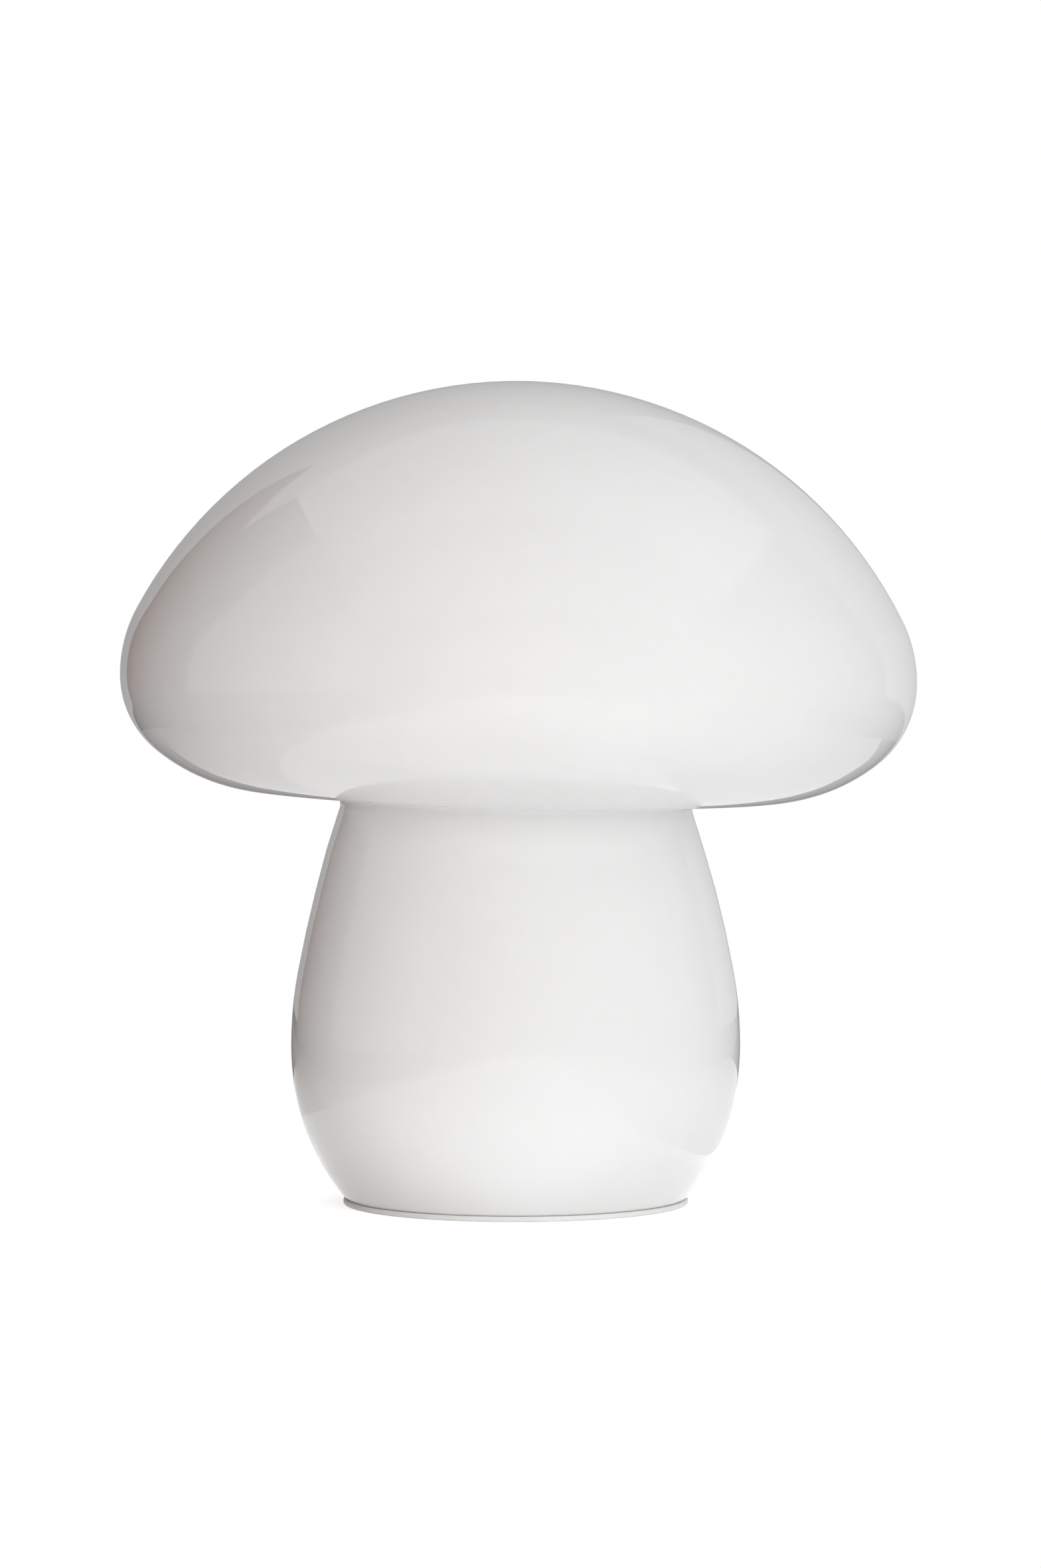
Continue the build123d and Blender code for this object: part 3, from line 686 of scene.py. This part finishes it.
def opal_glass():
    """Opal white glass, fire polished: faint clouds of opal, slow waves and a few fine seeds."""
    f = Finish("opal glass")
    cloud = f.noise(38 * MM, detail=3) * 0.7 + f.noise(7 * MM) * 0.3
    seeds = f.step(f.cells(11 * MM), 0.035, 0.02) * f.step(f.noise(30 * MM), 0.55, 0.65)
    body = f.mix(f.step(cloud, 0.3, 0.7), (0.889, 0.887, 0.884), (0.903, 0.903, 0.901))
    colour = f.mix(seeds, body, (0.80, 0.78, 0.76))
    wiped = f.noise(1.0, place=f.stretched(60 * MM, 60 * MM, 9 * MM), detail=3)
    rough = 0.028 + 0.03 * f.step(wiped, 0.5, 0.75)
    waves = f.bump(f.noise(16 * MM, detail=1), 0.05 * MM)
    pips = f.bump(seeds, 0.04 * MM, under=waves)
    return f.surface(
        base_color=colour, roughness=rough, normal=pips, ior=1.5,
        subsurface_weight=0.12, subsurface_radius=(1.0, 0.9, 0.8), subsurface_scale=4 * MM,
    )


def soft_trim():
    """Translucent white silicone: matt, a little yellow in its depth, with dust on it."""
    f = Finish("silicone trim")
    dust = f.step(f.noise(0.9 * MM, detail=4), 0.56, 0.72)
    body = f.mix(f.noise(14 * MM), (0.88, 0.875, 0.855), (0.915, 0.912, 0.90))
    colour = f.mix(dust * 0.3, body, (0.80, 0.79, 0.76))
    grain = f.bump(f.noise(0.25 * MM, detail=3), 0.02 * MM)
    return f.surface(
        base_color=colour, roughness=0.42 + 0.2 * dust, normal=grain, ior=1.41,
        subsurface_weight=0.25, subsurface_radius=(1.0, 0.9, 0.75), subsurface_scale=1.5 * MM,
    )


def white_steel():
    """White powder coat: orange peel, a slightly uneven film and a few darker specks."""
    f = Finish("powder coat")
    peel = f.noise(1.5 * MM, detail=2) * 0.7 + f.noise(0.5 * MM) * 0.3
    film = f.mix(f.noise(24 * MM), (0.835, 0.835, 0.815), (0.875, 0.875, 0.86))
    specks = f.step(f.cells(4.5 * MM), 0.07, 0.045)
    colour = f.mix(specks * 0.35, film, (0.45, 0.44, 0.42))
    rough = 0.34 + 0.14 * f.step(f.noise(9 * MM, detail=3), 0.4, 0.7)
    return f.surface(base_color=colour, roughness=rough, normal=f.bump(peel, 0.06 * MM), ior=1.5)


def zinc_steel():
    """Bright zinc plate: small crystals, fine scratches and a faint blue bloom."""
    f = Finish("zinc plate")
    crystals = f.cells(1.3 * MM)
    bloom = f.step(f.noise(6 * MM, detail=3), 0.4, 0.7)
    colour = f.mix(bloom, (0.66, 0.67, 0.69), (0.76, 0.765, 0.775))
    colour = f.mix(f.step(crystals, 0.2, 0.7) * 0.35, colour, (0.56, 0.58, 0.62))
    scratches = f.noise(1.0, place=f.stretched(0.25 * MM, 9 * MM, 0.25 * MM), detail=3)
    rough = 0.24 + 0.16 * bloom + 0.1 * scratches
    return f.surface(
        base_color=colour, metallic=1.0, roughness=rough, normal=f.bump(scratches, 0.008 * MM),
    )


def white_plastic():
    """Moulded thermoplastic: a fine spark-eroded texture and soft flow marks."""
    f = Finish("moulded white")
    flow = f.noise(1.0, place=f.stretched(22 * MM, 22 * MM, 8 * MM), detail=3)
    colour = f.mix(f.step(flow, 0.35, 0.7), (0.86, 0.86, 0.835), (0.90, 0.90, 0.885))
    grain = f.noise(0.35 * MM, detail=3)
    rough = 0.34 + 0.1 * f.step(flow, 0.4, 0.7) + 0.06 * grain
    return f.surface(base_color=colour, roughness=rough, normal=f.bump(grain, 0.02 * MM), ior=1.49)


def insert_plastic():
    """Cream heatproof moulding with a faint mottle."""
    f = Finish("heatproof moulding")
    mottle = f.step(f.noise(3 * MM, detail=4), 0.38, 0.66)
    colour = f.mix(mottle, (0.86, 0.83, 0.755), (0.91, 0.89, 0.83))
    pits = f.noise(0.5 * MM, detail=3)
    return f.surface(base_color=colour, roughness=0.3 + 0.12 * mottle, normal=f.bump(pits, 0.015 * MM))


def contact_brass():
    """Rolled brass strip: lines along the strip and a touch of tarnish."""
    f = Finish("brass strip")
    rolled = f.noise(1.0, place=f.stretched(20 * MM, 0.3 * MM, 20 * MM), detail=3)
    tarnish = f.step(f.noise(2.5 * MM, detail=4), 0.5, 0.75)
    colour = f.mix(tarnish, (0.83, 0.65, 0.33), (0.60, 0.42, 0.20))
    rough = 0.2 + 0.12 * rolled + 0.2 * tarnish
    return f.surface(base_color=colour, metallic=1.0, roughness=rough, normal=f.bump(rolled, 0.006 * MM))


def solder_tip():
    """Tinned contact button: dull, slightly lumpy, with rubbed patches that are brighter and smoother.
    """
    f = Finish("tinned button")
    lumps = f.noise(2.2 * MM, detail=2)
    rubbed = f.step(f.noise(0.8 * MM, detail=3), 0.45, 0.7)
    colour = f.mix(rubbed, (0.55, 0.55, 0.54), (0.70, 0.70, 0.69))
    return f.surface(
        base_color=colour, metallic=1.0, roughness=0.42 - 0.16 * rubbed, normal=f.bump(lumps, 0.12 * MM),
    )


def black_glass():
    """Black glass, pressed while hot: glossy, with flow lines and greyer clouds."""
    f = Finish("black glass")
    flow = f.noise(1.0, place=f.stretched(5 * MM, 5 * MM, 1.2 * MM), detail=2)
    colour = f.mix(f.step(flow, 0.4, 0.7), (0.012, 0.012, 0.016), (0.035, 0.034, 0.042))
    rough = 0.08 + 0.1 * flow
    return f.surface(base_color=colour, roughness=rough, normal=f.bump(flow, 0.05 * MM), ior=1.52)


def nickel_cap():
    """Nickel-plated rolled sheet: drawn marks round it, and clouds that are lighter and a little
    rougher.
    """
    f = Finish("nickel plate")
    drawn = f.noise(1.0, place=f.stretched(14 * MM, 14 * MM, 0.22 * MM), detail=3)
    clouds = f.step(f.noise(5 * MM, detail=4), 0.42, 0.68)
    colour = f.mix(clouds, (0.68, 0.67, 0.635), (0.78, 0.77, 0.745))
    rough = 0.2 + 0.1 * drawn + 0.08 * clouds
    return f.surface(base_color=colour, metallic=1.0, roughness=rough, normal=f.bump(drawn, 0.01 * MM))


def driver_board():
    """Green board with fine tracks, and dark parts that stand on it."""
    f = Finish("driver board")
    tracks = f.step(f.cells(2.6 * MM, feature="DISTANCE_TO_EDGE"), 0.07, 0.04)
    lacquer = f.mix(f.noise(4 * MM), (0.045, 0.20, 0.09), (0.06, 0.26, 0.12))
    board = f.mix(tracks, lacquer, (0.11, 0.36, 0.18))
    top_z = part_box("bulb_driver")[0].z + BOARD_THICKNESS
    stands = f.step(f.part_of("Z"), top_z + 0.05 * MM, top_z + 0.1 * MM)
    sleeve = f.mix(f.noise(3 * MM, detail=3), (0.018, 0.02, 0.03), (0.035, 0.04, 0.055))
    colour = f.mix(stands, board, sleeve)
    rough = 0.42 - 0.12 * stands
    return f.surface(base_color=colour, roughness=rough, normal=f.bump(tracks, 0.03 * MM))


def clear_glass():
    """Clear blown bulb glass with faint waves and a breath of haze."""
    f = Finish("clear glass")
    haze = f.step(f.noise(9 * MM, detail=3), 0.5, 0.8)
    colour = f.mix(haze, (0.975, 0.985, 0.985), (0.945, 0.96, 0.96))
    waves = f.bump(f.noise(12 * MM, detail=2), 0.05 * MM)
    return f.surface(
        base_color=colour, roughness=0.005 + 0.02 * haze, normal=waves, ior=1.5, transmission_weight=1.0,
    )


def phosphor():
    """Silicone loaded with yellow phosphor over a row of small chips."""
    f = Finish("phosphor coat")
    sockets = {"Vector": f.place, "Scale": 160.0, "Distortion": 0.3}
    chips = f.node("TexWave", {"bands_direction": "Z"}, sockets)
    grain = f.noise(0.3 * MM, detail=3)
    colour = f.mix(chips * 0.6 + grain * 0.4, (0.86, 0.60, 0.10), (0.95, 0.78, 0.28))
    lumps = f.bump(chips, 0.08 * MM, under=f.bump(grain, 0.02 * MM))
    return f.surface(base_color=colour, roughness=0.38 + 0.15 * grain, normal=lumps)


def wire():
    """Drawn nickel wire with faint draw marks and duller patches."""
    f = Finish("drawn wire")
    marks = f.noise(0.4 * MM, detail=3)
    colour = f.mix(f.step(f.noise(3 * MM), 0.4, 0.7), (0.52, 0.505, 0.48), (0.68, 0.665, 0.64))
    rough = 0.25 + 0.15 * marks
    return f.surface(base_color=colour, metallic=1.0, roughness=rough, normal=f.bump(marks, 0.01 * MM))


# ---- The lamp ----

FINISHES = {
    "opal_glass": opal_glass(),
    "soft_trim": soft_trim(),
    "white_steel": white_steel(),
    "zinc_steel": zinc_steel(),
    "white_plastic": white_plastic(),
    "insert_plastic": insert_plastic(),
    "contact_brass": contact_brass(),
    "solder_tip": solder_tip(),
    "black_glass": black_glass(),
    "nickel_cap": nickel_cap(),
    "driver_board": driver_board(),
    "clear_glass": clear_glass(),
    "phosphor": phosphor(),
    "wire": wire(),
}

for make in (make_glass, make_trim, make_tube, make_screws, make_socket, make_bulb_cap, make_driver):
    piece = make()
    piece.data.materials.clear()
    piece.data.materials.append(FINISHES[piece["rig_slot"]])

for subpart in frame["record"]["subparts"]:
    node = frame["nodes"][subpart["node"]]
    for material_slot in node.material_slots:
        material_slot.material = FINISHES[subpart["material_slot"]]


# ---- Stage, light and camera ----

def between(low, high):
    """The four corners of an upright or level card, from two opposite ones."""
    if low[2] == high[2]:
        return [low, (high[0], low[1], low[2]), high, (low[0], high[1], high[2])]
    return [low, (high[0], high[1], low[2]), high, (low[0], low[1], high[2])]


# A box round the lamp, whose front the camera looks through. Its panels light the lamp, and a second
# set of cards is mirrored in the gloss, so that no panel shows as a bright shape on the glass.
LEFT, RIGHT, FRONT, BACK, TOP = -1.2, 1.6, -1.2, 1.2, 1.8
STRIP_TOP, LOW_TOP = 0.2, 0.6         # tops of the two lower rows of front panels
MIDDLE_LEFT, MIDDLE_RIGHT = -0.6, 0.8  # sides of the front panels that face the lamp
STRIP_JOINT = 0.1           # between the two lowest front panels
TOP_JOINT = -0.2            # between the front and the back of the ceiling
DOOR_FRONT = 0.3            # front edge of the dark door in the left wall
CURTAIN_RIGHT = -0.72       # right edge of the dark curtain on the back wall
BACK_LEFT, BACK_RIGHT = -0.4, 0.6     # sides of the middle panel of the back wall
BACK_JOINT = 0.3            # between the two pale parts of the back wall as it is mirrored
RAIL_Z = 1.33               # top of the back wall as it is mirrored, below a frieze
TABLE_Z = 0.001             # level of the cards that stand for the tabletop and its edge
CARD_FRONT, CARD_JOINT, CARD_BACK = -0.20, -0.08, 0.10  # along Y, of the cards that light from the table
CARD_START, FRONT_CARD_END, SIDE_CARD_END = 0.09, 0.30, 0.34  # and along X, from the middle
TABLE_SIDE, TABLE_BACK = 0.42, 0.42   # edges of the table as it is mirrored
EDGE_NEAR = (-0.75, FRONT, TABLE_Z)   # three points of its slanting left edge
EDGE_MIDDLE = (-0.25, -0.20, TABLE_Z)
EDGE_FAR = (-TABLE_SIDE, 0.36, TABLE_Z)
LEFT_DARK, LEFT_WHITE = -0.36, -0.06  # where the left half of the table is darkest, and where white
RIGHT_DARK, RIGHT_WHITE = 0.40, 0.10
NEUTRAL, WARM, DEEP_WARM = (1.0, 1.0, 1.0), (1.0, 0.70, 0.54), (1.0, 0.8, 0.66)
PANELS = {                  # two opposite corners, colour and strength
    "front_left": ((LEFT, FRONT, STRIP_TOP), (MIDDLE_LEFT, FRONT, TOP), (1.0, 0.95, 0.885), 0.68),
    "front_low": ((MIDDLE_LEFT, FRONT, STRIP_TOP), (MIDDLE_RIGHT, FRONT, LOW_TOP), NEUTRAL, 2.0),
    "front_high": ((MIDDLE_LEFT, FRONT, LOW_TOP), (MIDDLE_RIGHT, FRONT, TOP), NEUTRAL, 0.88),
    "front_right": ((MIDDLE_RIGHT, FRONT, 0), (RIGHT, FRONT, TOP), NEUTRAL, 0.97),
    "low_left": ((MIDDLE_LEFT, FRONT, 0), (STRIP_JOINT, FRONT, STRIP_TOP), NEUTRAL, 2.4),
    "low_right": ((STRIP_JOINT, FRONT, 0), (MIDDLE_RIGHT, FRONT, STRIP_TOP), NEUTRAL, 3.0),
    "table_front": (
        (-FRONT_CARD_END, CARD_FRONT, TABLE_Z), (FRONT_CARD_END, CARD_JOINT, TABLE_Z), NEUTRAL, 0.84,
    ),
    "table_left": (
        (-SIDE_CARD_END, CARD_JOINT, TABLE_Z), (-CARD_START, CARD_BACK, TABLE_Z), NEUTRAL, 0.47,
    ),
    "table_right": (
        (CARD_START, CARD_JOINT, TABLE_Z), (SIDE_CARD_END, CARD_BACK, TABLE_Z), NEUTRAL, 0.80,
    ),
    "right_front": ((RIGHT, FRONT, 0), (RIGHT, 0, TOP), NEUTRAL, 0.90),
    "right_back": ((RIGHT, 0, 0), (RIGHT, BACK, TOP), NEUTRAL, 0.81),
    "left_front": ((LEFT, FRONT, 0), (LEFT, 0, TOP), WARM, 0.24),
    "back_left": ((CURTAIN_RIGHT, BACK, 0), (BACK_LEFT, BACK, TOP), DEEP_WARM, 0.35),
    "back_middle": ((BACK_LEFT, BACK, 0), (BACK_RIGHT, BACK, TOP), NEUTRAL, 1.3),
    "back_right": ((BACK_RIGHT, BACK, 0), (RIGHT, BACK, TOP), NEUTRAL, 0.5),
    "top_front": ((LEFT, FRONT, TOP), (RIGHT, TOP_JOINT, TOP), NEUTRAL, 0.66),
    "top_back": ((LEFT, TOP_JOINT, TOP), (RIGHT, BACK, TOP), NEUTRAL, 0.70),
}
MIRRORED = {                # corners and colour
    "front_wall": (between((LEFT, FRONT, 0), (RIGHT, FRONT, TOP)), (0.15, 0.153, 0.156)),
    "right_wall_front": (between((RIGHT, FRONT, 0), (RIGHT, 0, TOP)), (0.13, 0.127, 0.12)),
    "right_wall_back": (between((RIGHT, 0, 0), (RIGHT, BACK, TOP)), (0.30, 0.313, 0.33)),
    "left_wall": (between((LEFT, FRONT, 0), (LEFT, DOOR_FRONT, TOP)), (0.37, 0.395, 0.41)),
    "left_door": (between((LEFT, DOOR_FRONT, 0), (LEFT, BACK, TOP)), (0.06, 0.005, 0.003)),
    "back_curtain": (between((LEFT, BACK, 0), (CURTAIN_RIGHT, BACK, RAIL_Z)), (0.09, 0.010, 0.006)),
    "back_wall": (between((CURTAIN_RIGHT, BACK, 0), (BACK_JOINT, BACK, RAIL_Z)), (0.41, 0.41, 0.415)),
    "back_right": (between((BACK_JOINT, BACK, 0), (RIGHT, BACK, RAIL_Z)), (0.58, 0.585, 0.60)),
    "frieze": (between((LEFT, BACK, RAIL_Z), (RIGHT, BACK, TOP)), (0.47, 0.47, 0.48)),
    "ceiling_front": (between((LEFT, FRONT, TOP), (RIGHT, TOP_JOINT, TOP)), (0.44, 0.45, 0.465)),
    "ceiling_back": (between((LEFT, TOP_JOINT, TOP), (RIGHT, BACK, TOP)), (0.69, 0.70, 0.71)),
    "floor_left": (
        [(LEFT, FRONT, TABLE_Z), EDGE_NEAR, EDGE_MIDDLE, EDGE_FAR, (-TABLE_SIDE, BACK, TABLE_Z),
         (LEFT, BACK, TABLE_Z)],
        (0.01, 0.006, 0.006),
    ),
    "floor_back": (
        between((-TABLE_SIDE, TABLE_BACK, TABLE_Z), (TABLE_SIDE, BACK, TABLE_Z)), (0.17, 0.15, 0.15),
    ),
    "floor_right": (between((TABLE_SIDE, FRONT, TABLE_Z), (RIGHT, BACK, TABLE_Z)), (0.30, 0.30, 0.31)),
}
TABLE_FADE = {              # corners, where along X it is darkest and where it is white, darkest colour
    "table_left": (
        [EDGE_NEAR, (LEFT_WHITE, FRONT, TABLE_Z), (LEFT_WHITE, TABLE_BACK, TABLE_Z),
         (-TABLE_SIDE, TABLE_BACK, TABLE_Z), EDGE_FAR, EDGE_MIDDLE],
        (LEFT_DARK, LEFT_WHITE), (0.24, 0.21, 0.19),
    ),
    "table_right": (
        between((RIGHT_WHITE, FRONT, TABLE_Z), (TABLE_SIDE, TABLE_BACK, TABLE_Z)),
        (RIGHT_DARK, RIGHT_WHITE), (0.6, 0.6, 0.6),
    ),
}
FLOOR_COLOUR = (0.9, 0.9, 0.9)
FLOOR_LIFT = 0.62           # lifts the lit floor to white for the eye, and leaves its shadows
WHITE_FROM, WHITE_TO = 0.10, 0.26     # the floor turns plain white between these distances
FLOOR_SIZE = 6.0            # from the middle to each side


def add_card(name, corners):
    """A flat card that belongs to the stage."""
    bm = bmesh.new()
    bmesh.ops.contextual_create(bm, geom=[bm.verts.new(corner) for corner in corners])
    mesh = bpy.data.meshes.new(name)
    bm.to_mesh(mesh)
    bm.free()
    card = bpy.data.objects.new(name, mesh)
    bpy.context.scene.collection.objects.link(card)
    return card


def add_glowing_card(name, corners, colour, strength=1.0, lights=True, fade=None):
    """A card that either lights the lamp or is mirrored in its gloss, and never hides anything.

    fade names where along x the card has its colour and where it has turned white.
    """
    card = add_card(name, corners)
    card.visible_camera = card.visible_shadow = card.visible_transmission = False
    card.visible_diffuse = lights
    card.visible_glossy = not lights
    f = Finish(name)
    if fade:
        colour = f.mix(f.step(f.part_of("X"), *fade), colour, NEUTRAL)
    f.node_output(f.node("Emission", {}, {"Color": rgba(colour), "Strength": strength}))
    card.data.materials.append(f.material)


def seen_plain(f):
    """1 for rays from the camera, and for what gloss and clear glass show; 0 for lighting."""
    rays = [f.node("LightPath", {}, {}, name) for name in
            ("Is Camera Ray", "Is Glossy Ray", "Is Transmission Ray")]
    return rays[0] + rays[1] + rays[2]


def floor_finish():
    """Pale floor, white to the eye, that turns to plain white away from the lamp."""
    f = Finish("floor")
    away = f.node("VectorMath", {"operation": "LENGTH"}, {0: f.place}, "Value")
    seen = seen_plain(f)
    pale = f.node("BsdfDiffuse", {}, {"Color": rgba(FLOOR_COLOUR)})
    lift = f.node("Emission", {}, {"Color": rgba(NEUTRAL), "Strength": FLOOR_LIFT})
    white = f.node("Emission", {}, {"Color": rgba(NEUTRAL), "Strength": 1.0})
    lifted = f.node("AddShader", {}, {0: pale, 1: lift})
    near = f.node("MixShader", {}, {0: seen, 1: pale, 2: lifted})
    share = f.step(away, WHITE_FROM, WHITE_TO) * seen
    f.node_output(f.node("MixShader", {}, {0: share, 1: near, 2: white}))
    return f.material


def white_world():
    """White wherever the floor doesn't reach, without lighting the lamp."""
    world = bpy.data.worlds.new("studio")
    world.use_nodes = True
    bpy.context.scene.world = world
    nodes, links = world.node_tree.nodes, world.node_tree.links
    path = nodes.new("ShaderNodeLightPath")
    share = path.outputs["Is Camera Ray"]
    for name in ("Is Glossy Ray", "Is Transmission Ray"):
        add = nodes.new("ShaderNodeMath")
        add.operation = "ADD"
        links.new(share, add.inputs[0])
        links.new(path.outputs[name], add.inputs[1])
        share = add.outputs[0]
    nodes["Background"].inputs["Color"].default_value = rgba(NEUTRAL)
    links.new(share, nodes["Background"].inputs["Strength"])


for name, (low, high, colour, strength) in PANELS.items():
    add_glowing_card(name, between(low, high), colour, strength)
for name, (corners, colour) in MIRRORED.items():
    add_glowing_card(name + "_mirrored", corners, colour, lights=False)
for name, (corners, fade, colour) in TABLE_FADE.items():
    add_glowing_card(name + "_mirrored", corners, colour, lights=False, fade=fade)
floor = add_card("floor", between((-FLOOR_SIZE, -FLOOR_SIZE, 0), (FLOOR_SIZE, FLOOR_SIZE, 0)))
floor.data.materials.append(floor_finish())
white_world()

camera = bpy.data.objects.new("camera", bpy.data.cameras.new("camera"))
bpy.context.scene.collection.objects.link(camera)
camera.location = (CAMERA_SIDE, -CAMERA_DISTANCE, CAMERA_HEIGHT)
aim = Vector((CAMERA_SIDE, 0, AIM_HEIGHT)) - camera.location
camera.rotation_euler = aim.to_track_quat("-Z", "Y").to_euler()
camera.data.lens = FOCAL_PIXELS / PHOTO_HEIGHT * SENSOR_SIZE
camera.data.sensor_width = SENSOR_SIZE
bpy.context.scene.camera = camera
bpy.context.scene.view_settings.view_transform = "Standard"
